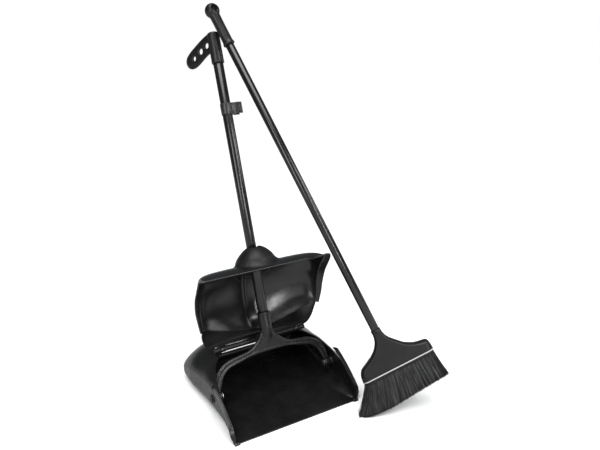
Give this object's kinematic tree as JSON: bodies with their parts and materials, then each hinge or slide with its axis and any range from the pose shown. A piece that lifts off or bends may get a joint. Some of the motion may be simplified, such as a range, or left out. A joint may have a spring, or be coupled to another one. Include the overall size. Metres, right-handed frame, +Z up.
{
  "type": "dust pan and brush set",
  "caption": "Long-handled dustpan whose hood closes as the pan is lifted, with an angled upright broom leaning on its handle.",
  "frame": {"origin": "on the floor, directly below the middle of the pan's swing axis", "axes": "+X to the right seen from the pan's mouth, +Y to the rear, +Z up"},
  "size_m": [0.5253, 0.6501, 0.9327],
  "materials": {
    "pan_plastic": "moulded polypropylene, soft gloss",
    "handle_coat": "satin black powder coat",
    "grip_plastic": "satin moulded plastic",
    "clip_plastic": "satin moulded nylon",
    "steel": "bright zinc",
    "head_plastic": "fine grained moulded plastic",
    "strip_plastic": "light grey vinyl",
    "bristle": "flagged synthetic filament"
  },
  "bodies": {
    "handle": {"yoke": "pan_plastic", "handle_tube": "handle_coat", "tube_plug": "grip_plastic", "collar_screw": "steel", "hand_grip": "grip_plastic", "broom_clip": "clip_plastic"},
    "pan": {"scoop": "pan_plastic", "pivot_pin_left": "grip_plastic", "pivot_pin_right": "grip_plastic", "pin_retainer_left": "steel", "pin_retainer_right": "steel", "hood_hinge_rod": "steel"},
    "hood": {"hood": "pan_plastic"},
    "broom": {"broom_tube": "handle_coat", "broom_grip": "grip_plastic", "broom_insert": "grip_plastic", "broom_head": "head_plastic", "edge_strip": "strip_plastic", "bristle_block": "head_plastic", "bristles": "bristle"}
  },
  "joints": [
    {"name": "pan_swing", "type": "hinge", "parent": "handle", "child": "pan", "pos_m": [0, 0, 0.048], "axis": [-1, 0, 0], "range_deg": [0, 80]},
    {"name": "hood_hinge", "type": "hinge", "parent": "pan", "child": "hood", "pos_m": [0, 0.077, 0.123], "axis": [1, 0, 0], "range_deg": [0, 97]},
    {"name": "broom_lift", "type": "slide", "parent": "handle", "child": "broom", "axis": [0, -0.342, 0.9397], "range_m": [0, 0.3]}
  ],
  "couplings": [
    {"joint": "hood_hinge", "follows": "pan_swing", "ratio": 1.2}
  ]
}
